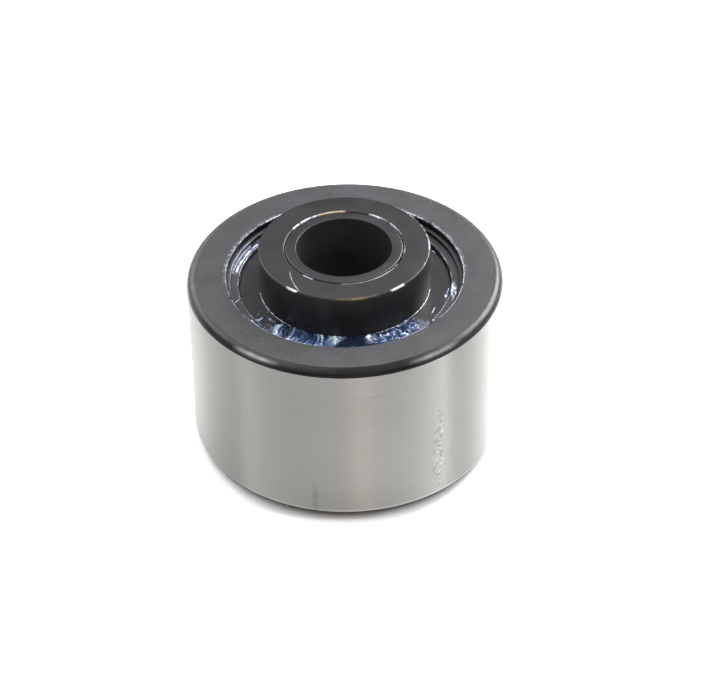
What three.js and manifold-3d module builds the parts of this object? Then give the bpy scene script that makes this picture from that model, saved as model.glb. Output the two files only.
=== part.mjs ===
// Heavy-duty yoke-type cam follower: a thick bright-ground tyre that turns on two rows of caged
// cylindrical rollers round a bored inner ring, with a black hub collar pressed on each end.
// Millimetres, +Z along the axis of rotation, origin at the centre of the lower hub face, on which
// the follower stands. Sections are drawn with their heights counted from the middle of the tyre.
import * as THREE from "three";
import { mergeVertices } from "three/addons/utils/BufferGeometryUtils.js";
import Module from "manifold-3d";

// Driving dimensions
const TYRE_RADIUS = 31.75;
const TYRE_WIDTH = 37.3;
const UPPER_HUB_PROUD = 6.35;
const LOWER_HUB_PROUD = 1.6;
const HUB_RADIUS = 17.15;
const BORE_RADIUS = 9.525;
const SPIGOT_RADIUS = 11.8;
const CORNER_RADIUS = 1.7;
const OUTER_RACE_RADIUS = 21.0;
const INNER_RACE_RADIUS = 15.0;
const ROLLERS_PER_ROW = 14;

// Faces that follow from them
const TYRE_FACE = TYRE_WIDTH / 2;
const UPPER_HUB_FACE = TYRE_FACE + UPPER_HUB_PROUD;
const LOWER_HUB_FACE = TYRE_FACE + LOWER_HUB_PROUD;
const PITCH_RADIUS = (OUTER_RACE_RADIUS + INNER_RACE_RADIUS) / 2;

// Gaps: pressed pieces keep a hair line, running pieces keep room to turn
const PRESS_GAP = 0.05;
const RUNNING_GAP = 0.1;
const END_GAP = 0.25;

// The recess in each end of the tyre, as depths below its face
const RECESS_RADIUS = 23.75;
const LEDGE_RADIUS = 22.96;
const LEDGE_DEPTH = 1.41;
const RETAINER_DEPTH = 2.25;
const RETAINER_THICKNESS = 1.3;
const RETAINER_INNER_RADIUS = 21.4;
const RETAINER_OUTER_RADIUS = 24.1;
const FLANGE_DEPTH = 2.94;
const FLANGE_RADIUS = 21.15;
const FLANGE_THICKNESS = 2.0;

// Roller set
const RIB_HALF_WIDTH = 1.3;
const RIB_RADIUS = 19.4;
const ROLLER_RADIUS = (OUTER_RACE_RADIUS - INNER_RACE_RADIUS) / 2 - RUNNING_GAP;
const ROLLER_LENGTH = 9.0;
const ROLLER_CHAMFER = 0.3;
const ROW_CENTRE = RIB_HALF_WIDTH + END_GAP + ROLLER_LENGTH / 2;
const ROW_END = ROW_CENTRE + ROLLER_LENGTH / 2 + END_GAP;
const CAGE_INNER_RADIUS = 16.9;
const CAGE_OUTER_RADIUS = 19.1;
const CAGE_RIM = 1.0;
const POCKET_CLEARANCE = 0.2;
const POCKET_LENGTH = ROLLER_LENGTH + 0.3;
const CAGE_START = ROW_CENTRE - POCKET_LENGTH / 2 - CAGE_RIM;
const CAGE_END = ROW_CENTRE + POCKET_LENGTH / 2 + CAGE_RIM;

// End plate, seal and collar boss
const RACE_SHOULDER = CAGE_END;
const PLATE_RADIUS = LEDGE_RADIUS - PRESS_GAP;
const PLATE_BORE = 16.5;
const PLATE_TOP = TYRE_FACE - FLANGE_DEPTH - FLANGE_THICKNESS - 0.3;
const PLATE_UNDERCUT = CAGE_END + 0.3;
const BOSS_RADIUS = 14.9;
const HUB_CHAMFER = 0.4;

// Lubrication feed: a groove round the middle of the bore and one hole to the raceway
const OIL_GROOVE_DEPTH = 0.8;
const OIL_GROOVE_WIDTH = 3.0;
const OIL_HOLE_RADIUS = 1.25;

// The split of the retaining ring, an oblique cut
const SPLIT_WIDTH = 0.4;
const SPLIT_AZIMUTH = THREE.MathUtils.degToRad(-163.6);
const SPLIT_SLANT = THREE.MathUtils.degToRad(33);

// Facets round a full turn
const RING_FACETS = 56;
const ROLLER_FACETS = 14;

const wasm = await Module();
wasm.setup();

// A closed three.js geometry as a manifold-3d solid.
function solidOf(geometry) {
  const bare = geometry.index ? geometry.toNonIndexed() : geometry.clone();
  bare.deleteAttribute("normal");
  bare.deleteAttribute("uv");
  const merged = mergeVertices(bare, 1e-4);
  const vertProperties = new Float32Array(merged.attributes.position.array);
  const triVerts = new Uint32Array(merged.index.array);
  return new wasm.Manifold(new wasm.Mesh({ numProp: 3, vertProperties, triVerts }));
}

// The solid back as a three.js geometry.
function geometryOf(solid) {
  const mesh = solid.getMesh();
  const geometry = new THREE.BufferGeometry();
  geometry.setAttribute("position", new THREE.BufferAttribute(mesh.vertProperties, 3));
  geometry.setIndex(new THREE.BufferAttribute(mesh.triVerts, 1));
  geometry.computeVertexNormals();
  return geometry;
}

// Turns a section about +Z. Its points are [radius, height], in order anticlockwise as drawn with
// the radius to the right, and it closes on itself unless it starts on the axis.
function turned(section, facets = RING_FACETS) {
  const points = section.map(([radius, height]) => new THREE.Vector2(radius, height));
  if (section[0][0] > 0) points.push(points[0].clone());
  return new THREE.LatheGeometry(points, facets).rotateX(Math.PI / 2);
}

// The same section for the upper end (side 1) or mirrored for the lower end (side -1).
function onSide(section, side) {
  const placed = section.map(([radius, height]) => [radius, side * height]);
  return side > 0 ? placed : placed.reverse();
}

// The upper half of a section, from the outside inwards, closed by its own mirror image.
function mirrored(upper) {
  return [...onSide(upper, -1), ...upper];
}

function named(name, geometry, material) {
  const mesh = new THREE.Mesh(geometry, material.clone());
  mesh.name = name;
  return mesh;
}

// Finishes
const groundSteel = new THREE.MeshStandardMaterial({ color: 0xa4a39f, roughness: 0.3, metalness: 1 });
const blackOxide = new THREE.MeshStandardMaterial({ color: 0x3a3a3e, roughness: 0.45, metalness: 0.8 });
const springSteel = new THREE.MeshStandardMaterial({ color: 0x55575a, roughness: 0.4, metalness: 1 });
const bearingSteel = new THREE.MeshStandardMaterial({ color: 0xc4c6c8, roughness: 0.15, metalness: 1 });
const pressedSteel = new THREE.MeshStandardMaterial({ color: 0x8b8d90, roughness: 0.35, metalness: 1 });
const cageBrass = new THREE.MeshStandardMaterial({ color: 0xb59445, roughness: 0.35, metalness: 1 });
const sealRubber = new THREE.MeshStandardMaterial({ color: 0x1b1b1c, roughness: 0.75, metalness: 0 });

// The tyre: one hardened ring with a rounded corner at each end of its running surface, a stepped
// recess, a retaining ring groove and an end plate seat in each end, and a rib between the races.
function tyre() {
  const grooveTop = TYRE_FACE - RETAINER_DEPTH + PRESS_GAP;
  const grooveFloor = grooveTop - RETAINER_THICKNESS - 2 * PRESS_GAP;
  const grooveRadius = RETAINER_OUTER_RADIUS + 0.3;
  const corner = [0, 30, 60, 90].map((degrees) => {
    const angle = THREE.MathUtils.degToRad(degrees);
    const radius = TYRE_RADIUS - CORNER_RADIUS + CORNER_RADIUS * Math.cos(angle);
    const height = TYRE_FACE - CORNER_RADIUS + CORNER_RADIUS * Math.sin(angle);
    return [radius, height];
  });
  const inwards = [
    [RECESS_RADIUS, TYRE_FACE],
    [RECESS_RADIUS, TYRE_FACE - LEDGE_DEPTH],
    [LEDGE_RADIUS, TYRE_FACE - LEDGE_DEPTH],
    [LEDGE_RADIUS, grooveTop],
    [grooveRadius, grooveTop],
    [grooveRadius, grooveFloor],
    [LEDGE_RADIUS, grooveFloor],
    [LEDGE_RADIUS, ROW_END - PRESS_GAP],
    [OUTER_RACE_RADIUS, ROW_END - PRESS_GAP],
    [OUTER_RACE_RADIUS, RIB_HALF_WIDTH],
    [RIB_RADIUS, RIB_HALF_WIDTH],
  ];
  return named("outer_ring", turned(mirrored([...corner, ...inwards])), groundSteel);
}

// The inner ring: the raceway in the middle, a spigot at each end for its collar, the longer one
// upwards, a through bore for the yoke pin, and the oil groove and hole.
function innerRing() {
  const grooveRadius = BORE_RADIUS + OIL_GROOVE_DEPTH;
  const end = (hubFace) => [
    [INNER_RACE_RADIUS, RACE_SHOULDER],
    [SPIGOT_RADIUS, RACE_SHOULDER],
    [SPIGOT_RADIUS, hubFace],
    [BORE_RADIUS, hubFace],
    [BORE_RADIUS, OIL_GROOVE_WIDTH / 2],
    [grooveRadius, OIL_GROOVE_WIDTH / 2],
  ];
  const section = [...onSide(end(LOWER_HUB_FACE), -1), ...end(UPPER_HUB_FACE)];
  const hole = new THREE.CylinderGeometry(OIL_HOLE_RADIUS, OIL_HOLE_RADIUS, INNER_RACE_RADIUS, 12);
  hole.translate(0, (BORE_RADIUS + INNER_RACE_RADIUS) / 2 + 2, 0);
  const ring = solidOf(turned(section)).subtract(solidOf(hole));
  return named("inner_ring", geometryOf(ring), bearingSteel);
}

// A hub collar: the black boss that the yoke clamps, tall at the upper end and short at the lower,
// with a thin flange that covers the end of the bearing and a neck that butts on the raceway.
function hubCollar(name, side, hubFace) {
  const bore = SPIGOT_RADIUS + PRESS_GAP;
  const flangeTop = TYRE_FACE - FLANGE_DEPTH;
  const section = [
    [bore, RACE_SHOULDER + PRESS_GAP],
    [BOSS_RADIUS, RACE_SHOULDER + PRESS_GAP],
    [BOSS_RADIUS, flangeTop - FLANGE_THICKNESS],
    [FLANGE_RADIUS, flangeTop - FLANGE_THICKNESS],
    [FLANGE_RADIUS, flangeTop],
    [HUB_RADIUS, flangeTop],
    [HUB_RADIUS, hubFace - HUB_CHAMFER],
    [HUB_RADIUS - HUB_CHAMFER, hubFace],
    [bore, hubFace],
  ];
  return named(name, turned(onSide(section, side)), blackOxide);
}

// A retaining ring: flat spring steel, cut through obliquely so that it can be wound into its groove.
function retainingRing(name, side) {
  const top = TYRE_FACE - RETAINER_DEPTH;
  const section = [
    [RETAINER_INNER_RADIUS, top - RETAINER_THICKNESS],
    [RETAINER_OUTER_RADIUS, top - RETAINER_THICKNESS],
    [RETAINER_OUTER_RADIUS, top],
    [RETAINER_INNER_RADIUS, top],
  ];
  const cut = new THREE.BoxGeometry(6, SPLIT_WIDTH, 4);
  cut.rotateZ(SPLIT_SLANT);
  cut.translate((RETAINER_INNER_RADIUS + RETAINER_OUTER_RADIUS) / 2, 0, side * top);
  cut.rotateZ(SPLIT_AZIMUTH);
  const ring = solidOf(turned(onSide(section, side))).subtract(solidOf(cut));
  return named(name, geometryOf(ring), springSteel);
}

// An end plate: an L-section steel ring, seated in the tyre under the retaining ring. Its outer
// part guides the ends of the rollers, and its web runs close under the collar's flange.
function endPlate(name, side) {
  const rimTop = TYRE_FACE - RETAINER_DEPTH - RETAINER_THICKNESS - RUNNING_GAP;
  const rimInner = FLANGE_RADIUS + 0.45;
  const section = [
    [PLATE_BORE, PLATE_UNDERCUT],
    [RIB_RADIUS, PLATE_UNDERCUT],
    [RIB_RADIUS, ROW_END],
    [PLATE_RADIUS, ROW_END],
    [PLATE_RADIUS, rimTop],
    [rimInner, rimTop],
    [rimInner, PLATE_TOP],
    [PLATE_BORE, PLATE_TOP],
  ];
  return named(name, turned(onSide(section, side)), pressedSteel);
}

// A seal: a rubber ring held in the bore of the end plate, with one lip that just clears the boss.
function seal(name, side) {
  const outer = PLATE_BORE - PRESS_GAP;
  const lip = BOSS_RADIUS + RUNNING_GAP;
  const bottom = PLATE_UNDERCUT + RUNNING_GAP;
  const top = PLATE_TOP - RUNNING_GAP;
  const section = [
    [outer - 0.8, bottom],
    [outer, bottom],
    [outer, top],
    [outer - 0.8, top],
    [lip, (bottom + top) / 2],
  ];
  return named(name, turned(onSide(section, side)), sealRubber);
}

// Azimuth of each roller: the lower row is set half a pitch round from the upper row.
function rollerAzimuth(index, side) {
  const offset = side > 0 ? 0 : 0.5;
  return ((index + offset) / ROLLERS_PER_ROW) * 2 * Math.PI;
}

// A cage: a machined brass ring with one pocket for each roller.
function cage(name, side) {
  const section = [
    [CAGE_INNER_RADIUS, CAGE_START],
    [CAGE_OUTER_RADIUS, CAGE_START],
    [CAGE_OUTER_RADIUS, CAGE_END],
    [CAGE_INNER_RADIUS, CAGE_END],
  ];
  let ring = solidOf(turned(onSide(section, side)));
  for (let index = 0; index < ROLLERS_PER_ROW; index += 1) {
    const pocketWidth = 2 * (ROLLER_RADIUS + POCKET_CLEARANCE);
    const pocket = new THREE.BoxGeometry(5, pocketWidth, POCKET_LENGTH);
    pocket.translate(PITCH_RADIUS, 0, side * ROW_CENTRE);
    pocket.rotateZ(rollerAzimuth(index, side));
    ring = ring.subtract(solidOf(pocket));
  }
  return named(name, geometryOf(ring), cageBrass);
}

// One row of plain cylindrical rollers with chamfered ends, each standing in its pocket.
function rollerRow(prefix, side) {
  const half = ROLLER_LENGTH / 2;
  const section = [
    [0, -half],
    [ROLLER_RADIUS - ROLLER_CHAMFER, -half],
    [ROLLER_RADIUS, -half + ROLLER_CHAMFER],
    [ROLLER_RADIUS, half - ROLLER_CHAMFER],
    [ROLLER_RADIUS - ROLLER_CHAMFER, half],
    [0, half],
  ];
  const row = new THREE.Group();
  for (let index = 0; index < ROLLERS_PER_ROW; index += 1) {
    const azimuth = rollerAzimuth(index, side);
    const name = `${prefix}_${String(index + 1).padStart(2, "0")}`;
    const roller = named(name, turned(section, ROLLER_FACETS), bearingSteel);
    roller.position.set(
      PITCH_RADIUS * Math.cos(azimuth),
      PITCH_RADIUS * Math.sin(azimuth),
      side * ROW_CENTRE,
    );
    row.add(roller);
  }
  return row;
}

// What stands still on the yoke pin.
const hub = new THREE.Group();
hub.add(innerRing());
hub.add(hubCollar("upper_hub_collar", 1, UPPER_HUB_FACE));
hub.add(hubCollar("lower_hub_collar", -1, LOWER_HUB_FACE));

// What turns with the tyre.
const running = new THREE.Group();
running.add(tyre());

// What rolls between them.
const rolling = new THREE.Group();

for (const [end, side] of [["upper", 1], ["lower", -1]]) {
  running.add(retainingRing(`${end}_retaining_ring`, side));
  running.add(endPlate(`${end}_end_plate`, side));
  running.add(seal(`${end}_seal`, side));
  rolling.add(cage(`${end}_cage`, side));
  rolling.add(rollerRow(`${end}_roller`, side));
}

// The whole follower, lifted so that its lower hub face is at height zero.
const assembly = new THREE.Group();
assembly.add(hub, running, rolling);
assembly.position.z = LOWER_HUB_FACE;
const follower = new THREE.Group();
follower.add(assembly);

export default follower;
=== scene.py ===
import math

import bmesh
import bpy
from mathutils import Matrix, Vector, noise


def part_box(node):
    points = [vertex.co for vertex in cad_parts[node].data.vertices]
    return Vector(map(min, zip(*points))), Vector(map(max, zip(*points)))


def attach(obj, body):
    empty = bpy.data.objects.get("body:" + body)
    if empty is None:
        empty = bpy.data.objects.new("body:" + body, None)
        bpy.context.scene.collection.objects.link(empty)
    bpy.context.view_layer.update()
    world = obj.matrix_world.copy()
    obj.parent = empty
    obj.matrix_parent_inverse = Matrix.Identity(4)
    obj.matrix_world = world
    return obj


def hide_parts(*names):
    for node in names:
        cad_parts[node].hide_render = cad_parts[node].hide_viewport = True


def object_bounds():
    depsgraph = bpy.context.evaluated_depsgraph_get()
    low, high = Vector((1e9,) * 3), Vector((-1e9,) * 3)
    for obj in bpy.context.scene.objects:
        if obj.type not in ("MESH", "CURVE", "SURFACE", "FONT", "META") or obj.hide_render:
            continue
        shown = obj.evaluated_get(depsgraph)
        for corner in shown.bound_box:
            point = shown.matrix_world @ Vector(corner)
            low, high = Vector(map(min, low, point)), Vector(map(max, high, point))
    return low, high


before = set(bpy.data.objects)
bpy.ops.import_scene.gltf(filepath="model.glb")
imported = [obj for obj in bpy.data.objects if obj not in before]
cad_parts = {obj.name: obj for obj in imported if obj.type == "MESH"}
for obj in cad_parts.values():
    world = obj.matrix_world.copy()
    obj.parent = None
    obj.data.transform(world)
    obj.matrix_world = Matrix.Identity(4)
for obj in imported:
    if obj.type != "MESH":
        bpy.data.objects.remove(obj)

cad_low, cad_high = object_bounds()

# ---------------------------------------------------------------------------------------------
# Studio. The follower stands on its short lower hub on a plain white table in a white light tent:
# a wide panel overhead, a broad soft lamp and a narrow strip on each side, and a small warm lamp
# in front.

MM = 0.001
table_height = cad_low[2]
table_half_width = 3.0
tyre_low, tyre_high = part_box("outer_ring")
middle = (tyre_low.z + tyre_high.z) / 2

bm = bmesh.new()
bmesh.ops.create_grid(bm, x_segments=2, y_segments=2, size=table_half_width)
bmesh.ops.translate(bm, vec=(0, 0, table_height), verts=bm.verts)
table_mesh = bpy.data.meshes.new("studio_table")
bm.to_mesh(table_mesh)
bm.free()
table = bpy.data.objects.new("studio_table", table_mesh)
bpy.context.scene.collection.objects.link(table)

table_paint = bpy.data.materials.new("table_white")
table_paint.use_nodes = True
table_shader = table_paint.node_tree.nodes["Principled BSDF"]
table_shader.inputs["Base Color"].default_value = (0.93, 0.93, 0.93, 1)
table_shader.inputs["Roughness"].default_value = 0.9
table_shader.inputs["Specular IOR Level"].default_value = 0.0
table_mesh.materials.append(table_paint)

tent = bpy.data.worlds.new("light_tent")
bpy.context.scene.world = tent
tent.use_nodes = True
tent_glow = tent.node_tree.nodes["Background"]
tent_glow.inputs["Color"].default_value = (0.97, 0.98, 1.0, 1)
tent_glow.inputs["Strength"].default_value = 0.06


def softbox(name, azimuth, elevation, distance, width, height, power, tint=(1, 1, 1)):
    """A rectangular lamp aimed at the follower. Azimuth is measured from +X, in degrees."""
    light = bpy.data.lights.new(name, "AREA")
    light.shape = "RECTANGLE"
    light.size, light.size_y = width, height
    light.energy = power
    light.color = tint
    lamp = bpy.data.objects.new(name, light)
    turn, lift = math.radians(azimuth), math.radians(elevation)
    away = Vector((math.cos(lift) * math.cos(turn), math.cos(lift) * math.sin(turn), math.sin(lift)))
    lamp.location = away * distance
    lamp.rotation_euler = (-away).to_track_quat("-Z", "Y").to_euler()
    lamp.visible_camera = False
    bpy.context.scene.collection.objects.link(lamp)


softbox("lamp_overhead", 0, 90, 0.6, 1.5, 1.5, 12.5)
softbox("lamp_right", 45, 36, 0.8, 0.5, 0.4, 13.5)
softbox("lamp_right_strip", -22, 40, 0.8, 0.06, 0.60, 2.6)
softbox("lamp_left", 135, 36, 0.8, 0.5, 0.4, 3.7)
softbox("lamp_left_strip", 199, 40, 0.8, 0.04, 0.60, 1.15)
softbox("lamp_front_warm", -81, 22, 0.8, 0.20, 0.25, 0.55, (1.0, 0.72, 0.45))

# The camera looks down on the follower from the front, a touch out of level.
camera_distance = 0.5217
camera_elevation = math.radians(39.0)
camera_target = Vector((1.06 * MM, 0.0, middle - 1.43 * MM))
camera_roll = math.radians(-1.17)

lens = bpy.data.cameras.new("camera")
lens.lens = 130.15
lens.sensor_width = 36.0
lens.clip_start = 0.01
camera = bpy.data.objects.new("camera", lens)
back = Vector((0, -math.cos(camera_elevation), math.sin(camera_elevation)))
camera.matrix_world = (
    Matrix.Translation(camera_target + back * camera_distance)
    @ Matrix.Rotation(math.pi / 2 - camera_elevation, 4, "X")
    @ Matrix.Rotation(camera_roll, 4, "Z")
)
bpy.context.scene.collection.objects.link(camera)
bpy.context.scene.camera = camera
bpy.context.scene.view_settings.view_transform = "Standard"

# ---------------------------------------------------------------------------------------------
# Inner ring. One hardened steel sleeve, blackened, with its raceway ground bright: a spigot at each
# end for its collar, the bore for the yoke pin, and a groove and a hole that feed oil to the raceway.

upper_hub_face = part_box("inner_ring")[1].z - middle
lower_hub_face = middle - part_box("inner_ring")[0].z
inner_race_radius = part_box("inner_ring")[1].x
bore_radius = 9.525 * MM
spigot_radius = 11.8 * MM
race_shoulder = 11.7 * MM
oil_groove_radius = 10.325 * MM
oil_groove_half_width = 1.5 * MM
oil_hole_radius = 1.25 * MM
oil_hole_length = 8 * MM
oil_hole_middle = 12.5 * MM


def spun(bm, line, following, steps):
    """Joins each point of a line to the one that follows it and spins them a full turn."""
    edges = [bm.edges.new(pair) for pair in zip(line, following)]
    bmesh.ops.spin(
        bm, geom=line + edges, cent=(0, 0, 0), axis=(0, 0, 1),
        angle=2 * math.pi, steps=steps, use_merge=True,
    )
    bmesh.ops.remove_doubles(bm, verts=bm.verts, dist=1e-7)
    bmesh.ops.recalc_face_normals(bm, faces=bm.faces)


def turned(name, section, steps=180):
    """Spins a closed section round the axis. Its points are (radius, height from the tyre's middle,
    width of the broken edge), and the broken edges take the piece's second material."""
    bm = bmesh.new()
    rim = [bm.verts.new((radius, 0, middle + height)) for radius, height, _ in section]
    spun(bm, rim, rim[1:] + rim[:1], steps)

    def microns(radius, height):
        return round(radius * 1e6), round(height * 1e6)

    for width in sorted({broken for _, _, broken in section if broken}):
        circles = {microns(radius, height) for radius, height, broken in section if broken == width}
        sharp = []
        for edge in bm.edges:
            first, second = (microns(v.co.xy.length, v.co.z - middle) for v in edge.verts)
            if first == second and first in circles:
                sharp.append(edge)
        broken_edge = bmesh.ops.bevel(
            bm, geom=sharp, offset=width, affect="EDGES", segments=2, profile=0.5, material=-1,
        )
        for face in broken_edge["faces"]:
            face.material_index = 1
    return finished(name, bm)


def finished(name, bm, split_above=35):
    """Makes the piece, smooth but for its sharp edges, with its flat faces shaded flat."""
    for face in bm.faces:
        face.smooth = True
    mesh = bpy.data.meshes.new(name)
    bm.to_mesh(mesh)
    bm.free()
    mesh.set_sharp_from_angle(angle=math.radians(split_above))
    piece = bpy.data.objects.new(name, mesh)
    bpy.context.scene.collection.objects.link(piece)
    shading = piece.modifiers.new("flat_face_shading", "WEIGHTED_NORMAL")
    shading.keep_sharp = True
    return piece


def on_side(section, side):
    """The same section for the upper end, side 1, or mirrored for the lower end, side -1."""
    placed = [(radius, side * height, broken) for radius, height, broken in section]
    return placed if side > 0 else placed[::-1]


def inner_ring_end(hub_face):
    return [
        (inner_race_radius, race_shoulder, 0.2 * MM),
        (spigot_radius, race_shoulder, 0),
        (spigot_radius, hub_face, 0.38 * MM),
        (bore_radius, hub_face, 0.25 * MM),
        (bore_radius, oil_groove_half_width, 0.1 * MM),
        (oil_groove_radius, oil_groove_half_width, 0),
    ]


inner_ring = turned(
    "inner_ring_turned", on_side(inner_ring_end(lower_hub_face), -1) + inner_ring_end(upper_hub_face),
)


def cut_away(piece, bm):
    """Cuts the solid in bm out of the piece and keeps the result as the piece's own mesh."""
    bmesh.ops.recalc_face_normals(bm, faces=bm.faces)
    tool_mesh = bpy.data.meshes.new("cutting_tool")
    bm.to_mesh(tool_mesh)
    bm.free()
    tool = bpy.data.objects.new("cutting_tool", tool_mesh)
    bpy.context.scene.collection.objects.link(tool)
    cut = piece.modifiers.new("cut", "BOOLEAN")
    cut.operation = "DIFFERENCE"
    cut.solver = "EXACT"
    cut.object = tool
    piece.modifiers.move(piece.modifiers.find("cut"), 0)
    piece.modifiers["flat_face_shading"].show_viewport = False
    piece.data = bpy.data.meshes.new_from_object(
        piece.evaluated_get(bpy.context.evaluated_depsgraph_get()),
    )
    piece.data.name = piece.name
    piece.modifiers["flat_face_shading"].show_viewport = True
    piece.modifiers.remove(cut)
    bpy.data.objects.remove(tool)


bm = bmesh.new()
bmesh.ops.create_cone(
    bm, cap_ends=True, segments=32, radius1=oil_hole_radius, radius2=oil_hole_radius,
    depth=oil_hole_length,
    matrix=Matrix.Translation((0, oil_hole_middle, middle)) @ Matrix.Rotation(math.pi / 2, 4, "X"),
)
cut_away(inner_ring, bm)


def add(tree, kind, inputs=None, **settings):
    """Adds a shader node, with its settings made and its inputs set or linked."""
    step = tree.nodes.new("ShaderNode" + kind)
    for key, value in settings.items():
        setattr(step, key, value)
    for key, value in (inputs or {}).items():
        if isinstance(value, bpy.types.NodeSocket):
            tree.links.new(value, step.inputs[key])
        else:
            step.inputs[key].default_value = value
    return step


def new_finish(name, **constants):
    """A material with its constants set. Returns it, its node tree, its shader and its place."""
    material = bpy.data.materials.new(name)
    material.use_nodes = True
    tree = material.node_tree
    shader = tree.nodes["Principled BSDF"]
    for key, value in constants.items():
        shader.inputs[key.replace("_", " ")].default_value = value
    return material, tree, shader, add(tree, "TexCoord").outputs["Object"]


def grey(value, blue=1.0):
    return (value, value, value * blue, 1)


def spread(tree, factor, low, high, start=0.0, end=1.0):
    """A number that runs from low to high as the factor runs from start to end."""
    inputs = {"Value": factor, "From Min": start, "From Max": end, "To Min": low, "To Max": high}
    return add(tree, "MapRange", inputs).outputs["Result"]


def mixed(tree, factor, first, second):
    """The first colour where the factor is 0 and the second where it is 1."""
    step = add(tree, "Mix", data_type="RGBA")
    for key, value in (("Factor", factor), ("A", first), ("B", second)):
        if isinstance(value, bpy.types.NodeSocket):
            tree.links.new(value, step.inputs[key])
        else:
            step.inputs[key].default_value = value
    return step.outputs["Result"]


def cloud(tree, place, scale, detail, roughness=0.5):
    inputs = {"Vector": place, "Scale": scale, "Detail": detail, "Roughness": roughness}
    return add(tree, "TexNoise", inputs).outputs["Fac"]


def black_oxide(name, shade, gloss, dust=0.0, grain_depth=0.10, specular=0.37):
    """Blackened turned steel: nearly black, satin, finely grained, with a thin film of dust.
    Returns the material, its tree, its shader, its place and its colour, so that marks can follow."""
    material, tree, shader, place = new_finish(name, Specular_IOR_Level=specular)
    tone = cloud(tree, place, 170, 5)
    speck = cloud(tree, place, 1900, 2, 0.7)
    cloudy = spread(tree, tone, 0, 1, 0.3, 0.7)
    base = mixed(tree, cloudy, grey(shade * 0.85, 1.10), grey(shade * 1.15, 1.16))
    dusty = spread(tree, speck, 0, dust, 0.45, 0.75)
    colour = mixed(tree, dusty, base, (0.30, 0.31, 0.34, 1))
    tree.links.new(colour, shader.inputs["Base Color"])
    tree.links.new(spread(tree, tone, gloss - 0.05, gloss + 0.05, 0.3, 0.7), shader.inputs["Roughness"])
    bump = add(tree, "Bump", {"Height": speck, "Strength": grain_depth, "Distance": 0.03 * MM})
    tree.links.new(bump.outputs["Normal"], shader.inputs["Normal"])
    return material, tree, shader, place, colour


def turning_lines(tree, place, squeeze, scale, detail, roughness=0.5):
    """Noise squeezed along the axis, so that it runs round the piece as fine lines."""
    squeezed = add(tree, "Mapping", {"Vector": place, "Scale": (1, 1, squeeze)}).outputs["Vector"]
    return cloud(tree, squeezed, scale, detail, roughness)


def steel_finish(name, dark, bright, low_gloss, high_gloss, scale):
    """Plain steel with soft clouding and fine turning lines."""
    material, tree, shader, place = new_finish(name, Metallic=1.0)
    lines = turning_lines(tree, place, 15, scale, 4)
    colour = mixed(tree, spread(tree, lines, 0, 1, 0.3, 0.7), grey(dark), grey(bright, 1.03))
    tree.links.new(colour, shader.inputs["Base Color"])
    tree.links.new(spread(tree, lines, low_gloss, high_gloss, 0.3, 0.7), shader.inputs["Roughness"])
    return material


# A spun face is flat, so its centre lies a little inside the true radius.
facet_sag = 0.05 * MM
hub_black = black_oxide("hub_black_oxide", 0.010, 0.36, 0.0, 0.08, 0.28)[0]
# Painted light: the bore's black is lighter than the hub's, standing in for light that reaches into the bore.
bore_painted_lighter = black_oxide("bore_painted_lighter_black_oxide", 0.020, 0.5, 0.0, 0.1, 0.16)[0]
raceway_steel = steel_finish("raceway_steel", 0.50, 0.62, 0.14, 0.24, 600)

for finish in (hub_black, bore_painted_lighter, raceway_steel):
    inner_ring.data.materials.append(finish)
for face in inner_ring.data.polygons:
    radius = face.center.xy.length
    in_bore = radius < bore_radius + facet_sag
    on_raceway = radius > inner_race_radius - facet_sag
    face.material_index = 1 if in_bore else 2 if on_raceway else 0
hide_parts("inner_ring")
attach(inner_ring, "hub")

# ---------------------------------------------------------------------------------------------
# Rollers. Two rows of fourteen plain cylindrical rollers, through-hardened, ground and lapped, with
# a small radius at each end and a shallow dimple left in each end face.

roller_radius = 2.9 * MM
roller_half_length = 4.5 * MM
roller_corner = 0.3 * MM
dimple_radius = 1.6 * MM
dimple_depth = 0.15 * MM
corner_relief = 0.09 * MM


def roller_finish():
    """Bright ground steel with fine lines round the roller."""
    material, tree, shader, place = new_finish("roller_steel", Metallic=1.0)
    lines = turning_lines(tree, place, 12, 700, 3)
    colour = mixed(tree, lines, (0.56, 0.57, 0.58, 1), (0.66, 0.66, 0.67, 1))
    tree.links.new(colour, shader.inputs["Base Color"])
    tree.links.new(spread(tree, lines, 0.12, 0.24), shader.inputs["Roughness"])
    return material


roller_steel = roller_finish()
roller_names = [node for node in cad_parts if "_roller_" in node]
for node in roller_names:
    low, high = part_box(node)
    centre = (low + high) / 2
    bm = bmesh.new()
    section = [
        (0, -roller_half_length + dimple_depth),
        (dimple_radius, -roller_half_length),
        (roller_radius - roller_corner, -roller_half_length),
        (roller_radius - corner_relief, -roller_half_length + corner_relief),
        (roller_radius, -roller_half_length + roller_corner),
    ]
    section += [(radius, -height) for radius, height in reversed(section)]
    line = [bm.verts.new((radius, 0, height)) for radius, height in section]
    spun(bm, line, line[1:], 36)
    bmesh.ops.translate(bm, vec=centre, verts=bm.verts)
    roller = finished(node + "_ground", bm)
    roller.data.materials.append(roller_steel)
    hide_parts(node)
    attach(roller, node)

# ---------------------------------------------------------------------------------------------
# Cages. A machined brass ring for each row, with one pocket milled through for each roller.

cage_inner_radius = 16.9 * MM
cage_outer_radius = 19.1 * MM
cage_start = 0.4 * MM
cage_end = 11.7 * MM
pocket_width = 6.2 * MM
pocket_length = 9.3 * MM
pocket_corner = 0.5 * MM
pocket_depth = 6 * MM


def brass_finish():
    """Machined brass, a little dull, with fine turning lines."""
    material, tree, shader, place = new_finish("cage_brass", Metallic=1.0)
    lines = turning_lines(tree, place, 20, 500, 3)
    tarnish = cloud(tree, place, 220, 4)
    bright = mixed(tree, lines, (0.58, 0.42, 0.16, 1), (0.70, 0.52, 0.22, 1))
    colour = mixed(tree, spread(tree, tarnish, 0, 0.6, 0.45, 0.7), bright, (0.34, 0.23, 0.09, 1))
    tree.links.new(colour, shader.inputs["Base Color"])
    tree.links.new(spread(tree, tarnish, 0.25, 0.45), shader.inputs["Roughness"])
    return material


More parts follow.
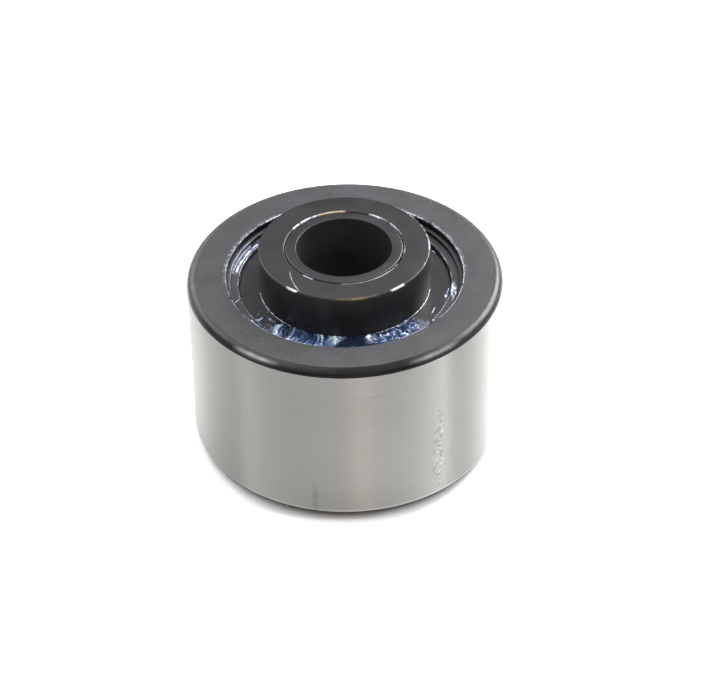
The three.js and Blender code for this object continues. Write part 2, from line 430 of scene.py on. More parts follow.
cage_brass = brass_finish()
for end, side in (("upper", 1), ("lower", -1)):
    cage = turned(f"{end}_cage_machined", on_side([
        (cage_inner_radius, cage_start, 0.15 * MM),
        (cage_outer_radius, cage_start, 0.15 * MM),
        (cage_outer_radius, cage_end, 0.15 * MM),
        (cage_inner_radius, cage_end, 0.15 * MM),
    ], side))
    bm = bmesh.new()
    for node in roller_names:
        if not node.startswith(end):
            continue
        low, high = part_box(node)
        centre = (low + high) / 2
        turn = Matrix.Rotation(math.atan2(centre.y, centre.x), 4, "Z")
        stretch = Matrix.Diagonal((pocket_depth, pocket_width, pocket_length, 1))
        pocket = bmesh.ops.create_cube(bm, size=1, matrix=Matrix.Translation(centre) @ turn @ stretch)
        edges = {edge for vert in pocket["verts"] for edge in vert.link_edges}
        through = [
            edge for edge in edges
            if abs((edge.verts[0].co - edge.verts[1].co).xy.length - pocket_depth) < 1e-6
        ]
        bmesh.ops.bevel(
            bm, geom=through, offset=pocket_corner, affect="EDGES", segments=3, profile=0.5, material=-1,
        )
    cut_away(cage, bm)
    cage.data.materials.append(cage_brass)
    for face in cage.data.polygons:
        face.material_index = 0
    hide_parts(f"{end}_cage")
    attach(cage, f"{end}_cage")

# ---------------------------------------------------------------------------------------------
# Tyre. One thick hardened ring, blackened all over and then ground bright on its running surface
# and its two raceways, so the rounded corners, end faces and stepped recesses stay black.

tyre_face = tyre_high.z - middle
tyre_radius = tyre_high.x
corner_radius = 1.7 * MM
recess_radius = 23.75 * MM
ledge_radius = 22.96 * MM
ledge_depth = 1.41 * MM
retainer_depth = 2.25 * MM
groove_radius = 24.4 * MM
groove_height = 1.4 * MM
outer_race_radius = 21.0 * MM
row_end = 10.75 * MM
rib_half_width = 1.3 * MM
rib_radius = 19.4 * MM

groove_top = tyre_face - retainer_depth
tyre_end = []
for degrees in range(0, 91, 10):
    angle = math.radians(degrees)
    tyre_end.append((
        round(tyre_radius - corner_radius * (1 - math.cos(angle)), 7),
        round(tyre_face - corner_radius * (1 - math.sin(angle)), 7),
        0,
    ))
tyre_end += [
    (recess_radius, tyre_face, 0.25 * MM),
    (recess_radius, tyre_face - ledge_depth, 0),
    (ledge_radius, tyre_face - ledge_depth, 0.15 * MM),
    (ledge_radius, groove_top, 0),
    (groove_radius, groove_top, 0),
    (groove_radius, groove_top - groove_height, 0),
    (ledge_radius, groove_top - groove_height, 0),
    (ledge_radius, row_end, 0),
    (outer_race_radius, row_end, 0.15 * MM),
    (outer_race_radius, rib_half_width, 0),
    (rib_radius, rib_half_width, 0.15 * MM),
]
tyre = turned("tyre_ground", on_side(tyre_end, -1) + tyre_end, steps=288)
ground_end = tyre_face - corner_radius
for face in tyre.data.polygons:
    radius, height = face.center.xy.length, abs(face.center.z - middle)
    if radius > tyre_radius - 0.06 * MM and height < ground_end + 0.35 * MM:
        face.material_index = 2
    elif radius > tyre_radius - corner_radius:
        face.material_index = 3
    elif abs(radius - outer_race_radius) < facet_sag and face.material_index == 0:
        face.material_index = 5
    # Painted shade: the upright walls inside the recess take a darker black than the end face.
    elif radius < groove_radius and abs(face.normal.z) < 0.5 and face.material_index == 0:
        face.material_index = 4


def product(tree, *factors):
    """The factors multiplied together."""
    result = factors[0]
    for factor in factors[1:]:
        result = add(tree, "Math", {0: result, 1: factor}, operation="MULTIPLY").outputs["Value"]
    return result


def arc(azimuth, first, last, fade=4.0):
    """One between two azimuths in degrees, falling to nothing over the fade outside them."""
    centre, half = (first + last) / 2, (last - first) / 2
    outside = abs((azimuth - centre + 180) % 360 - 180) - half
    return min(1.0, max(0.0, 1.0 - outside / fade))


def paint(piece, finish, amount):
    """Stores how much of a finish each point carries, from its azimuth, radius and height."""
    values = piece.data.attributes.new(finish, "FLOAT", "POINT")
    for vertex, value in zip(piece.data.vertices, values.data):
        x, y, z = vertex.co
        value.value = amount(math.degrees(math.atan2(y, x)), math.hypot(x, y), z - middle)


def strongest(azimuth, arcs, least=0.0):
    """The strongest of several painted arcs: (first azimuth, last azimuth, strength, fade)."""
    return max([least] + [strength * arc(azimuth, first, last, fade) for first, last, strength, fade in arcs])


def flecked(name, recess, top, *finish):
    """The tyre's finish: grey flecks round the recess behind the axis, and a few dark specks."""
    material, tree, shader, place, colour = black_oxide(name, *finish)
    across = add(tree, "Mapping", {"Vector": place, "Scale": (1, 1, 0)}).outputs["Vector"]
    radius = add(tree, "VectorMath", {0: across}, operation="LENGTH").outputs["Value"]
    where = add(tree, "SeparateXYZ", {"Vector": place}).outputs
    behind = spread(tree, where["Y"], 0, 1, -4 * MM, 2 * MM)
    flecks = spread(tree, cloud(tree, place, 1500, 2, 0.6), 0, 1, 0.46, 0.62)
    near = spread(tree, radius, 0.75, 0, recess, recess + 0.9 * MM)
    above = spread(tree, where["Z"], 0, 1, top - 0.4 * MM, top)
    colour = mixed(tree, product(tree, behind, flecks, near, above), colour, (0.27, 0.30, 0.36, 1))
    dots = add(tree, "TexVoronoi", {"Vector": place, "Scale": 240}).outputs["Distance"]
    colour = mixed(tree, spread(tree, dots, 0.55, 0, 0.06, 0.13), colour, grey(0.004))
    tree.links.new(colour, shader.inputs["Base Color"])
    return material


def edge_with_wear_and_glints(name, rubbed_and_glint_colour, scale):
    """The broken edge of a blackened piece. Each point carries how far it is scuffed bright and painted
    with glints, and how far it is tinged with rust, and grain of the given scale breaks both up."""
    material, tree, shader, place = new_finish(name, Roughness=0.30, Specular_IOR_Level=0.22)
    wear_and_glint = add(tree, "Attribute", attribute_name="wear_and_glint").outputs["Fac"]
    rust = add(tree, "Attribute", attribute_name="rust").outputs["Fac"]
    grain = spread(tree, cloud(tree, place, scale, 3, 0.6), 0.3, 1.7, 0.3, 0.7)
    patch = spread(tree, cloud(tree, place, scale * 0.36, 2), 0.4, 1.6, 0.3, 0.7)
    # Painted glints: where the attribute is high the edge is painted light, for scuffed steel and for
    # highlights.
    rubbed_and_glints = spread(tree, product(tree, wear_and_glint, grain, patch), 0, 1, 0.15, 0.85)
    base = mixed(tree, rubbed_and_glints, grey(0.010, 1.15), rubbed_and_glint_colour)
    stain = product(tree, rust, spread(tree, patch, 0.35, 1.0, 0.7, 1.3))
    tree.links.new(mixed(tree, stain, base, (0.26, 0.19, 0.09, 1)), shader.inputs["Base Color"])
    tree.links.new(spread(tree, rubbed_and_glints, 0.0, 0.35), shader.inputs["Metallic"])
    return material


def mark(tree, place, azimuth, height, width, length, edge=0.5):
    """One inside an upright oval on the running surface, fading over the outer part of it."""
    turn = math.radians(azimuth)
    centre = (tyre_radius * math.cos(turn), tyre_radius * math.sin(turn), middle + height)
    moved = add(tree, "VectorMath", {0: place, 1: centre}, operation="SUBTRACT").outputs["Vector"]
    sized = add(tree, "VectorMath", {0: moved, 1: (width / 2, width / 2, length / 2)}, operation="DIVIDE")
    away = add(tree, "VectorMath", {0: sized.outputs["Vector"]}, operation="LENGTH").outputs["Value"]
    return spread(tree, away, 1, 0, 1 - edge, 1 + edge)


def ground_steel(name):
    """Bright steel with the fine lines of a cylindrical grind running round it, which scatter light
    along the axis. It is painted lighter low down, as painted light bounced up from the table, with a
    painted highlight along its lowest edge, and has one dark smudge, a run of shallow pits and painted
    highlight flecks beside them."""
    material, tree, shader, place = new_finish(
        name, Metallic=1.0, Anisotropic=1.0, Anisotropic_Rotation=0.25,
    )
    lines = turning_lines(tree, place, 110, 45, 3, 0.6)
    bands = cloud(tree, place, 60, 2)
    lined = spread(tree, lines, 0, 1, 0.3, 0.7)
    base = mixed(tree, lined, (0.236, 0.232, 0.224, 1), (0.254, 0.250, 0.242, 1))
    base = mixed(tree, spread(tree, bands, 0, 0.25, 0.4, 0.7), base, (0.216, 0.213, 0.206, 1))
    depth = add(tree, "SeparateXYZ", {"Vector": place}).outputs["Z"]
    # Painted light: the base runs lighter towards the bottom, standing in for light bounced up from the
    # table.
    lower = spread(tree, depth, 0.5, 0, middle - ground_end, middle + ground_end)
    base = mixed(tree, lower, base, (0.325, 0.319, 0.309, 1))
    lowest = middle - ground_end
    # Painted highlight: a thin lighter line along the lowest edge of the running surface.
    painted_edge_highlight = spread(tree, depth, 1, 0, lowest - 0.1 * MM, lowest + 0.3 * MM)
    base = mixed(tree, painted_edge_highlight, base, (0.40, 0.40, 0.39, 1))
    smudge = product(
        tree, mark(tree, place, -102.2, -14.2 * MM, 1.0 * MM, 5.0 * MM, 0.8),
        spread(tree, cloud(tree, place, 500, 3), 0.2, 0.55, 0.35, 0.6),
    )
    base = mixed(tree, smudge, base, (0.10, 0.09, 0.085, 1))
    pit = spread(tree, cloud(tree, place, 1100, 4, 0.7), 0, 1, 0.54, 0.60)
    pitted = product(tree, mark(tree, place, -55.5, -5 * MM, 3.0 * MM, 26 * MM, 0.5), pit)
    base = mixed(tree, product(tree, pitted, 0.55), base, (0.11, 0.10, 0.09, 1))
    # Painted highlights: light flecks painted into the base colour where the lamp's streak crosses the pits.
    painted_glint_grain = spread(tree, cloud(tree, place, 1700, 2, 0.6), 0, 0.6, 0.54, 0.64)
    painted_sparkle = product(tree, mark(tree, place, -54.5, -7 * MM, 2.6 * MM, 20 * MM, 0.5), painted_glint_grain)
    base = mixed(tree, painted_sparkle, base, (0.44, 0.45, 0.46, 1))
    tree.links.new(base, shader.inputs["Base Color"])
    tree.links.new(spread(tree, lines, 0.36, 0.44, 0.3, 0.7), shader.inputs["Roughness"])
    hollow = add(tree, "Math", {0: pitted, 1: -3.0, 2: lines}, operation="MULTIPLY_ADD").outputs["Value"]
    bump = add(tree, "Bump", {"Height": hollow, "Strength": 0.06, "Distance": 0.01 * MM})
    tree.links.new(bump.outputs["Normal"], shader.inputs["Normal"])
    return material


def corner_finish():
    """The blackened corner, painted lighter where each point says so: painted highlights and a little wear on
    its fine polish.
    """
    material, tree, shader, place, colour = black_oxide("corner_black_oxide", 0.007, 0.30, 0.0, 0.03, 0.12)
    wear_and_glint = add(tree, "Attribute", attribute_name="wear_and_glint").outputs["Fac"]
    # Painted highlights: the corner's colour is lightened where its attribute says so.
    lightened = product(tree, wear_and_glint, spread(tree, cloud(tree, place, 500, 3), 0.75, 1.1, 0.3, 0.7))
    tree.links.new(mixed(tree, lightened, colour, (0.60, 0.62, 0.64, 1)), shader.inputs["Base Color"])
    return material


def corner_wear_and_highlights(azimuth, radius, height):
    """The upper corner is painted a little lighter behind and at the left front, with a painted soft
    highlight at the right and two short painted highlights in front.
    """
    if height < 0:
        return 0.0
    out = (radius - (tyre_radius - corner_radius)) / corner_radius
    band = math.exp(-((out - 0.35) / 0.35) ** 2)
    fine = math.exp(-((out - 0.62) / 0.16) ** 2)
    return max(
        0.10 * band * arc(azimuth, -40, 10, 30),
        0.09 * arc(azimuth, 15, 190, 25),
        0.05 * band * arc(azimuth, -170, -120, 30),
        0.45 * fine * arc(azimuth, -128, -121, 7),
        0.26 * fine * arc(azimuth, -60, -51, 8),
    )


def rim_wear_and_glints(azimuth, radius, height):
    """The recess rim is speckled at the back and left and scuffed to a line in front, with painted glints
    along it.
    """
    if radius > tyre_radius - corner_radius - 0.01 * MM:
        return corner_wear_and_highlights(azimuth, radius, height)
    if radius < recess_radius - 0.3 * MM:
        return strongest(azimuth, ((120, 200, 0.25, 20),))
    # Painted highlights: the strongest arcs are glints painted onto the rim's edge.
    return strongest(azimuth, (
        (-165, -100, 0.4, 10), (-130, -108, 0.8, 6), (-62, -50, 1.6, 3), (-36, 12, 0.7, 6),
        (15, 50, 0.35, 6), (50, 66, 0.8, 4), (117, 130, 1.6, 3), (130, 196, 0.36, 8),
    ))


paint(tyre, "wear_and_glint", rim_wear_and_glints)
paint(tyre, "rust", lambda azimuth, radius, height: 0.0)
for finish in (
    flecked("tyre_black_oxide", recess_radius, tyre_high.z, 0.020, 0.45, 0.05, 0.10, 0.36),
    edge_with_wear_and_glints("rim_edge_wear_and_glints", (0.36, 0.39, 0.45, 1), 2000),
    ground_steel("ground_steel"),
    corner_finish(),
    # Painted shade: the darker black of the recess walls.
    black_oxide("recess_painted_shade_black_oxide", 0.006, 0.5, 0.0, 0.1, 0.10)[0],
    raceway_steel,
):
    tyre.data.materials.append(finish)
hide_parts("outer_ring")
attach(tyre, "tyre")

# ---------------------------------------------------------------------------------------------
# End plates. One pressed and turned steel ring under each retaining ring: its rim guides the ends
# of the rollers and its web runs close under the collar's flange.

flange_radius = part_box("upper_hub_collar")[1].x
flange_depth = 2.94 * MM
flange_thickness = 2.0 * MM
flange_top = tyre_face - flange_depth
flange_bottom = flange_top - flange_thickness
running_gap = 0.1 * MM
ring_thickness = 1.3 * MM
plate_radius = 22.91 * MM
plate_bore = 16.5 * MM
plate_undercut = 12.0 * MM
plate_top = flange_bottom - 0.3 * MM
roller_end = 10.8 * MM
rim_top = groove_top - ring_thickness - running_gap
rim_inner_radius = flange_radius + 0.45 * MM

pressed_steel = steel_finish("pressed_steel", 0.20, 0.30, 0.30, 0.42, 300)
for end, side in (("upper", 1), ("lower", -1)):
    plate = turned(f"{end}_end_plate_turned", on_side([
        (plate_bore, plate_undercut, 0.1 * MM),
        (rib_radius, plate_undercut, 0),
        (rib_radius, roller_end, 0.1 * MM),
        (plate_radius, roller_end, 0.15 * MM),
        (plate_radius, rim_top, 0.15 * MM),
        (rim_inner_radius, rim_top, 0.15 * MM),
        (rim_inner_radius, plate_top, 0),
        (plate_bore, plate_top, 0.1 * MM),
    ], side))
    for _ in range(2):
        plate.data.materials.append(pressed_steel)
    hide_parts(f"{end}_end_plate")
    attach(plate, "tyre")

# ---------------------------------------------------------------------------------------------
# Seals. A moulded rubber ring held in the bore of each end plate, with one lip that just clears
# the collar's neck.

boss_radius = 14.9 * MM
seal_outer = plate_bore - 0.05 * MM
seal_bottom = plate_undercut + running_gap
seal_top = plate_top - running_gap
lip_radius = boss_radius + running_gap
lip_height = (seal_bottom + seal_top) / 2
lip_half_width = 0.08 * MM
seal_body = 0.8 * MM


def rubber_finish():
    """Matt black nitrile rubber with a faint bloom."""
    material, tree, shader, place = new_finish("seal_rubber", Specular_IOR_Level=0.4)
    bloom = cloud(tree, place, 400, 4)
    tree.links.new(mixed(tree, bloom, grey(0.010), grey(0.028)), shader.inputs["Base Color"])
    tree.links.new(spread(tree, bloom, 0.65, 0.85), shader.inputs["Roughness"])
    return material


seal_rubber = rubber_finish()
for end, side in (("upper", 1), ("lower", -1)):
    seal = turned(f"{end}_seal_moulded", on_side([
        (seal_outer - seal_body, seal_bottom, 0.05 * MM),
        (seal_outer, seal_bottom, 0.1 * MM),
        (seal_outer, seal_top, 0.1 * MM),
        (seal_outer - seal_body, seal_top, 0.05 * MM),
        (lip_radius, lip_height + lip_half_width, 0),
        (lip_radius, lip_height - lip_half_width, 0),
    ], side))
    for _ in range(2):
        seal.data.materials.append(seal_rubber)
    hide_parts(f"{end}_seal")
    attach(seal, "tyre")

# ---------------------------------------------------------------------------------------------
# Retaining rings. Flat spring steel, coiled from strip and cut through obliquely, so that each can
# be wound into its groove in the tyre.

ring_inner_radius = 21.4 * MM
ring_outer_radius = 24.1 * MM
split_azimuth = math.radians(-163.6)
split_slant = math.tan(math.radians(33))
split_width = 0.16 * MM

spring_steel = black_oxide("spring_steel", 0.030, 0.34, 0.05)[0]
edge_finish = edge_with_wear_and_glints("edge_with_wear_and_glints", (0.50, 0.52, 0.57, 1), 900)
split_edge = steel_finish("split_edge", 0.45, 0.60, 0.25, 0.35, 600)


def split_ring(name, side):
    """Spins the strip's section round from one slanted end to the other and closes both ends."""
    ring_middle = (ring_inner_radius + ring_outer_radius) / 2
    half_gap = split_width / ring_middle / 2
    corners = [
        (ring_inner_radius, groove_top - ring_thickness), (ring_outer_radius, groove_top - ring_thickness),
        (ring_outer_radius, groove_top), (ring_inner_radius, groove_top),
    ]
    bm = bmesh.new()
    rim = []
    for radius, height in corners:
        azimuth = split_azimuth + (radius - ring_middle) * split_slant / radius + half_gap
        rim.append(bm.verts.new((
            radius * math.cos(azimuth), radius * math.sin(azimuth), middle + side * height,
        )))
    edges = [bm.edges.new(pair) for pair in zip(rim, rim[1:] + rim[:1])]
    bmesh.ops.spin(
        bm, geom=rim + edges, cent=(0, 0, 0), axis=(0, 0, 1),
        angle=2 * math.pi - 2 * half_gap, steps=180,
    )
    ends = [edge for edge in bm.edges if edge.is_boundary]
    bmesh.ops.holes_fill(bm, edges=ends, sides=0)
    bmesh.ops.recalc_face_normals(bm, faces=bm.faces)
    sharp = [edge for edge in bm.edges if edge.calc_face_angle(0) > math.radians(40)]
    broken_edge = bmesh.ops.bevel(
        bm, geom=sharp, offset=0.12 * MM, affect="EDGES", segments=2, profile=0.5, material=-1,
    )
    for face in broken_edge["faces"]:
        face.material_index = 1
    for face in bm.faces:
        x, y = face.calc_center_median().xy
        from_split = abs((math.atan2(y, x) - split_azimuth + math.pi) % (2 * math.pi) - math.pi)
        if face.material_index == 1 and from_split < math.radians(3.0) and len(face.verts) >= 4:
            if face.calc_area() < 0.4e-6:
                face.material_index = 2
    return finished(name, bm)


for end, side in (("upper", 1), ("lower", -1)):
    ring = split_ring(f"{end}_retaining_ring_coiled", side)
    paint(ring, "wear_and_glint", lambda azimuth, radius, height: 0.35 + 0.3 * arc(azimuth, -170, -20, 20))
    paint(ring, "rust", lambda azimuth, radius, height: 0.0)
    for finish in (spring_steel, edge_finish, split_edge):
        ring.data.materials.append(finish)
    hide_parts(f"{end}_retaining_ring")
    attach(ring, "tyre")

# ---------------------------------------------------------------------------------------------
# Hub collars. One turned piece at each end, pressed on the spigot: the boss that the yoke clamps
# and a thin flange that covers the end of the bearing. Blackened all over.

hub_radius = 17.15 * MM
collar_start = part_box("upper_hub_collar")[0].z - middle
collar_bore = 11.85 * MM


def near_circle(tree, place, centre, radius, width):
    """One on a circle about an upright axis through the centre, fading over the width."""
    moved = add(tree, "Mapping", {
        "Vector": place, "Location": (-centre[0], -centre[1], 0), "Scale": (1, 1, 0),
    })
    away = add(tree, "VectorMath", {0: moved.outputs["Vector"]}, operation="LENGTH").outputs["Value"]
    off = add(tree, "Math", {0: away, 1: -radius}, operation="ADD").outputs["Value"]
    off = add(tree, "Math", {0: off}, operation="ABSOLUTE").outputs["Value"]
    return spread(tree, off, 1, 0, 0, width)


def scratched(name, *finish):
    """The hub's finish with one curved scratch on its face, left by a tool."""
    material, tree, shader, place, colour = black_oxide(name, *finish)
    line = near_circle(tree, place, (3.62 * MM, -6.96 * MM), 14.37 * MM, 0.14 * MM)
    where = add(tree, "SeparateXYZ", {"Vector": place}).outputs
    side = spread(tree, where["X"], 1, 0, -8.8 * MM, -8.6 * MM)
    start = spread(tree, where["Y"], 0, 1, -14.4 * MM, -13.8 * MM)
    end = spread(tree, where["Y"], 1, 0, -8.6 * MM, -7.4 * MM)
    broken = spread(tree, cloud(tree, place, 800, 2), 0.4, 1, 0.3, 0.6)
    lightened = product(tree, line, side, start, end, broken)
    tree.links.new(mixed(tree, lightened, colour, (0.34, 0.31, 0.27, 1)), shader.inputs["Base Color"])
    return material


def joint_wear_and_glints(azimuth):
    """The joint between collar and ring is black, with bright glints painted where it is scuffed."""
    return strongest(azimuth, (
        (118, 146, 0.7, 4), (50, 62, 0.8, 4), (-60, -40, 0.9, 5), (-34, 50, 0.24, 6), (-130, -123, 1.6, 3),
        (152, 205, 0.10, 12), (92, 114, 0.45, 6), (-90, -64, 0.7, 6),
    ))


def joint_rust(azimuth):
    return strongest(azimuth, ((92, 114, 0.9, 5), (-88, -66, 0.9, 6), (150, 215, 0.12, 15)))


hub_face_black = scratched("hub_face_black_oxide", 0.010, 0.36, 0.0, 0.08, 0.28)


def hub_edge_wear_and_glints(azimuth, radius, height):
    """How far each edge of a collar is scuffed and painted with glints: painted glints on the hub's rim, a
    scuffed joint with painted glints.
    """
    if height < 0:
        return 0.3
    if radius < 13 * MM:
        return joint_wear_and_glints(azimuth)
    if radius < 18 * MM:
        return strongest(azimuth, (
            (-10, 45, 0.28, 25), (-56, -49, 1.3, 3), (-130, -126, 1.3, 3),
        ))
    return 0.12


def hub_edge_rust(azimuth, radius, height):
    if height < 0:
        return 0.0
    return joint_rust(azimuth) if radius < 13 * MM else strongest(azimuth, ((-92, -72, 0.32, 6),))


for end, side, hub_face in (("upper", 1, upper_hub_face), ("lower", -1, lower_hub_face)):
    collar = turned(f"{end}_collar_turned", on_side([
        (collar_bore, collar_start, 0),
        (boss_radius, collar_start, 0.2 * MM),
        (boss_radius, flange_bottom, 0),
        (flange_radius, flange_bottom, 0.15 * MM),
        (flange_radius, flange_top, 0.2 * MM),
        (hub_radius, flange_top, 0),
        (hub_radius, hub_face, 0.35 * MM),
        (collar_bore, hub_face, 0.38 * MM),
    ], side))
    paint(collar, "wear_and_glint", hub_edge_wear_and_glints)
    paint(collar, "rust", hub_edge_rust)
    collar.data.materials.append(hub_face_black if end == "upper" else hub_black)
    collar.data.materials.append(edge_finish)
    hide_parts(f"{end}_hub_collar")
    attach(collar, "hub")

# ---------------------------------------------------------------------------------------------
# Grease. Blue-grey bearing grease, smeared round the recess: a fan of strokes in front, navy where
# it is thin and nearly white where it is heaped, and a few smaller smears.


def grease_finish():
    """Wet blue grease. Each point carries how pale it is, and fine grain breaks it up."""
    material, tree, shader, place = new_finish("grease_blue", Coat_Weight=0.25, Coat_Roughness=0.15)
    pale = add(tree, "Attribute", attribute_name="pale").outputs["Fac"]
    grain = cloud(tree, place, 1500, 3, 0.6)
    shift = add(tree, "Math", {0: pale, 1: spread(tree, grain, -0.14, 0.14, 0.3, 0.7)}, operation="ADD")
    ramp = add(tree, "ValToRGB", {"Fac": shift.outputs["Value"]})
    stops = ramp.color_ramp.elements
    stops[0].position, stops[0].color = 0.0, (0.004, 0.006, 0.014, 1)
    stops[1].position, stops[1].color = 1.0, (0.76, 0.79, 0.77, 1)
    for position, colour in (
        (0.30, (0.010, 0.019, 0.050, 1)),
        (0.50, (0.033, 0.060, 0.135, 1)),
        (0.70, (0.135, 0.185, 0.285, 1)),
        (0.85, (0.40, 0.46, 0.52, 1)),
    ):
        stop = stops.new(position)
        stop.color = colour
    tree.links.new(ramp.outputs["Color"], shader.inputs["Base Color"])
    tree.links.new(spread(tree, grain, 0.22, 0.38, 0.3, 0.7), shader.inputs["Roughness"])
    bump = add(tree, "Bump", {"Height": grain, "Strength": 0.15, "Distance": 0.05 * MM})
    tree.links.new(bump.outputs["Normal"], shader.inputs["Normal"])
    return material


grease_blue = grease_finish()


def grease_film(name, body, azimuths, radii, floor, cover):
    """A film on a round face. cover(azimuth, radius) gives its thickness, with no film where it is under
    zero, and its paleness. The film is a shell whose skirt sinks below the face it lies on."""
    cell = 0.10 * MM
    shell = 0.08 * MM
    (first, last), (inner, outer) = azimuths, radii
    length = math.radians(last - first) * (inner + outer) / 2
    bm = bmesh.new()
    bmesh.ops.create_grid(
        bm, x_segments=math.ceil(length / cell), y_segments=math.ceil((outer - inner) / cell), size=1,
    )
    tone = bm.verts.layers.float.new("pale")
    wet = set()
    for vert in bm.verts:
        azimuth = first + (last - first) * (vert.co.x + 1) / 2
        radius = inner + (outer - inner) * (vert.co.y + 1) / 2
        thickness, vert[tone] = cover(azimuth, radius)
        if thickness > 0:
            wet.add(vert)
        turn = math.radians(azimuth)
        height = middle + floor(radius) + max(thickness, -0.06 * MM)
        vert.co = (radius * math.cos(turn), radius * math.sin(turn), height)
    dry = [face for face in bm.faces if not any(vert in wet for vert in face.verts)]
    bmesh.ops.delete(bm, geom=dry, context="FACES")
    bmesh.ops.recalc_face_normals(bm, faces=bm.faces)
    if sum(face.normal.z for face in bm.faces) < 0:
        bmesh.ops.reverse_faces(bm, faces=bm.faces)
    bmesh.ops.solidify(bm, geom=bm.faces[:], thickness=shell)
    bmesh.ops.recalc_face_normals(bm, faces=bm.faces)
    for face in bm.faces:
        face.smooth = True
    mesh = bpy.data.meshes.new(name)
    bm.to_mesh(mesh)
    bm.free()
    film = bpy.data.objects.new(name, mesh)
    bpy.context.scene.collection.objects.link(film)
    film.data.materials.append(grease_blue)
    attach(film, body)


def strokes(azimuth, radius, lean, layer):
    """Strokes that run out from the hub and branch, low between them and high along them."""
    mm = radius / MM
    swept = azimuth + lean * (mm - 17) + 2.6 * noise.noise((azimuth * 0.10, mm * 0.40, layer))
    broad = noise.noise((swept * 0.16, mm * 0.15, layer + 5))
    coarse = 1 - min(1.0, 4.5 * abs(noise.noise((swept * 0.32, mm * 0.20, layer + 9))))
    fine = 1 - min(1.0, 4.0 * abs(noise.noise((swept * 0.75, mm * 0.33, layer + 13))))
    return 0.17 + 0.90 * broad + 0.42 * coarse + 0.30 * fine


def ragged(azimuth, radius, layer, scale=0.5):
    return noise.noise((azimuth * scale * 0.33, radius / MM * scale, layer))


def hub_film(azimuth, radius):
    """The grease on the collar's flange, from the left of the hub round the front."""
    mm = radius / MM
    rough = ragged(azimuth, radius, 2.0, 1.2)
    soft = ragged(azimuth, radius, 21.0, 0.9)
    fan = arc(azimuth + 3 * rough + 1.2 * (mm - 17), -133, -99, 1.5)
    sheet = arc(azimuth + 2.6 * (mm - 17.2), -99, -90, 1.5)
    blob = math.exp(-(((azimuth + 75.5) / 3.2) ** 2) - ((mm - 18.4) / 1.0) ** 2) * (1 + 0.8 * rough)
    navy = arc(azimuth + 3 * rough, -92, -42, 5)
    curls = 1 - min(1.0, 2.4 * abs(noise.noise((azimuth * 0.27, mm * 0.75, 4.0)) + 0.3 * rough))
    curls = max(0.0, curls - 0.25 + 0.9 * soft) * arc(azimuth + 3 * rough, -70, -46, 6)
    hairs = 1 - min(1.0, 9 * abs(noise.noise((azimuth * 0.22, mm * 0.7, 41.0))))
    dab = arc(azimuth, -150, -141, 6) * max(0.0, soft - 0.12)
    streak = strokes(azimuth, radius, -0.6, 0.0)
    whiter = 0.08 * arc(azimuth, -133, -124, 8)
    right = max(
        math.exp(-(((azimuth + 13) / 2.2) ** 2) - ((mm - 20.5) / 0.30) ** 2) * (1 + 0.8 * rough),
        0.72 * math.exp(-(((azimuth + 28) / 4.0) ** 2) - ((mm - 19.7 + 0.05 * (azimuth + 28)) / 0.22) ** 2),
        0.70 * math.exp(-(((azimuth + 9) / 5.0) ** 2) - ((mm - 20.9) / 0.5) ** 2) * (1 + 1.2 * rough),
        math.exp(-(((azimuth - 28.8) / 1.6) ** 2) - ((mm - 20.75) / 0.16) ** 2),
    )
    thickness = max(
        fan * (0.06 + 0.20 * streak), sheet * (0.12 + 0.14 * streak), 0.8 * blob,
        navy * (0.03 + 0.09 * curls + 0.05 * soft), 0.4 * dab, 0.30 * right - 0.06, -0.06,
    )
    paleness = max(
        fan * min(0.90, 0.95 * streak - 0.03 + whiter), sheet * (0.46 + 0.38 * streak), 1.15 * blob,
        navy * (
            0.06 + 0.16 * arc(azimuth, -70, -46, 8) + 0.52 * curls + 0.65 * hairs * max(0.0, 0.5 + soft)
        ),
        1.4 * dab, right,
    )
    if thickness < 0.03 and max(fan, sheet, blob, navy) < 0.3 and dab < 0.02 and right < 0.25:
        thickness = -0.06
    return thickness * MM, min(1.0, max(0.0, paleness))


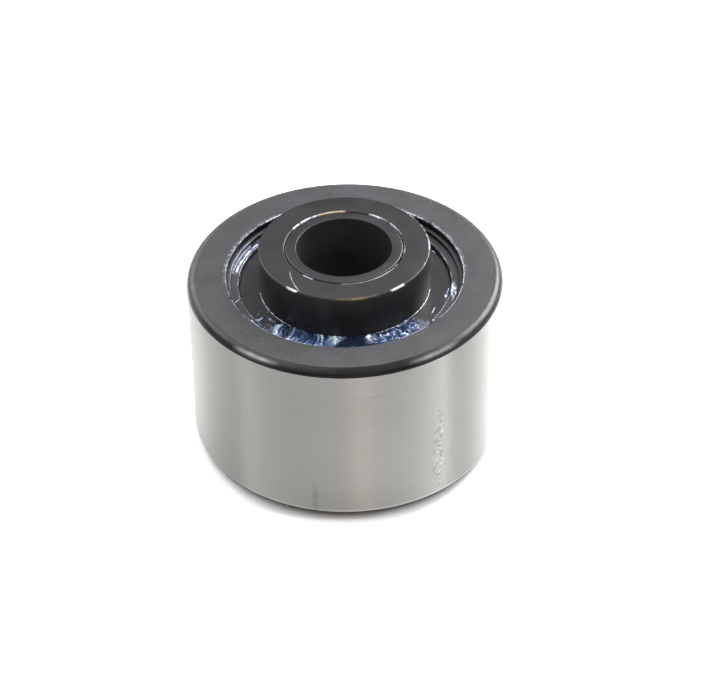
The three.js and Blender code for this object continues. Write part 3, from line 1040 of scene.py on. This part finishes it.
def tyre_film(azimuth, radius):
    """The grease on the retaining ring and the ledge outside it."""
    mm = radius / MM
    rough = ragged(azimuth, radius, 12.0, 1.2)
    fan = arc(azimuth + 3 * rough, -135, -92, 3)
    navy = arc(azimuth + 3 * rough, -92, -48, 4)
    left = arc(azimuth + 4 * rough, -147, -139, 2) * math.exp(-((mm - 22.4) / 0.6) ** 2)
    right = math.exp(-(((azimuth + 9.0 + 4 * (mm - 21.8)) / 6.0) ** 2) - ((mm - 21.75) / 0.6) ** 2)
    dot = math.exp(-(((azimuth + 38) / 1.2) ** 2) - ((mm - 21.9) / 0.35) ** 2)
    streak = strokes(azimuth, radius, -0.6, 0.0)
    across = mm - 22.1 - 0.012 * (azimuth - 157)
    cream = math.exp(-(across / 0.22) ** 2) * (0.9 + 0.8 * noise.noise((azimuth * 0.22, mm * 1.2, 26.0)))
    blue = math.exp(-(across / 0.62) ** 2) * (0.62 + 0.5 * noise.noise((azimuth * 0.10, mm * 3.0, 20.0)))
    smear = arc(azimuth + 2 * rough, 145, 170, 4) * max(0.0, cream, blue)
    band = 0.8 * arc(azimuth + 2 * rough, 147, 170, 5) * arc(mm, 22.95, 23.3, 0.25)
    spike = arc(azimuth, 120, 129, 3) * math.exp(-((mm - 23.4) / 0.4) ** 2)
    thickness = max(
        fan * (0.06 + 0.18 * streak), navy * (0.04 + 0.08 * streak), 0.35 * left * (1 + rough),
        0.35 * right * (1 + 0.8 * rough), 0.22 * smear, 0.06 * band, 0.4 * spike, 0.4 * dot,
    ) - 0.03
    paleness = max(
        fan * min(0.90, 0.95 * streak - 0.03), navy * (0.08 + 0.24 * streak), 0.75 * left + 0.25 * rough,
        right * (0.98 + 0.8 * rough), 0.88 * smear, 0.62 * band + 0.2 * rough, 0.95 * spike, dot,
    )
    return thickness * MM, min(1.0, max(0.0, paleness))


def tyre_floor(radius):
    """The retaining ring's face, then the ledge, with the grease rounding the step."""
    rise = min(1.0, max(0.0, (radius - (ledge_radius - 0.15 * MM)) / (0.3 * MM)))
    return groove_top + rise * (retainer_depth - ledge_depth)


grease_film(
    "grease_on_collar", "hub", (-158, 34), (hub_radius + 0.005 * MM, flange_radius - 0.2 * MM),
    lambda radius: flange_top, hub_film,
)
grease_film(
    "grease_on_retaining_ring", "tyre", (-150, 8), (ring_inner_radius + 0.12 * MM, recess_radius - 0.02 * MM),
    tyre_floor, tyre_film,
)
grease_film(
    "grease_smear_at_back", "tyre", (112, 178), (ring_inner_radius + 0.12 * MM, recess_radius - 0.02 * MM),
    tyre_floor, tyre_film,
)


def painted_highlight_bead(name, first, last, paleness):
    """The thin fillet of grease left where the hub meets its flange, painted pale to stand for the highlight
    along it.
    """
    section = [(-0.05, -0.05), (0.11, -0.05), (0.09, 0.01), (0.04, 0.03), (0.02, 0.06), (-0.05, 0.08)]
    start = math.radians(first)
    bm = bmesh.new()
    rim = []
    for out, up in section:
        radius, height = hub_radius + out * MM, middle + flange_top + up * MM
        rim.append(bm.verts.new((radius * math.cos(start), radius * math.sin(start), height)))
    edges = [bm.edges.new(pair) for pair in zip(rim, rim[1:] + rim[:1])]
    bmesh.ops.spin(
        bm, geom=rim + edges, cent=(0, 0, 0), axis=(0, 0, 1),
        angle=math.radians(last - first), steps=200,
    )
    bmesh.ops.holes_fill(bm, edges=[edge for edge in bm.edges if edge.is_boundary], sides=0)
    bmesh.ops.recalc_face_normals(bm, faces=bm.faces)
    bead = finished(name, bm, split_above=80)
    paint(bead, "pale", lambda azimuth, radius, height: paleness + 0.3 * ragged(azimuth, 0, 8.0, 1.2))
    bead.data.materials.append(grease_blue)
    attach(bead, "hub")


# Painted highlight: pale beads along the hub's base stand for the highlight on its fillet.
painted_highlight_bead("painted_highlight_bead_at_left", -172, -118, 0.80)
painted_highlight_bead("painted_highlight_bead_at_right", -80, -8, 0.82)
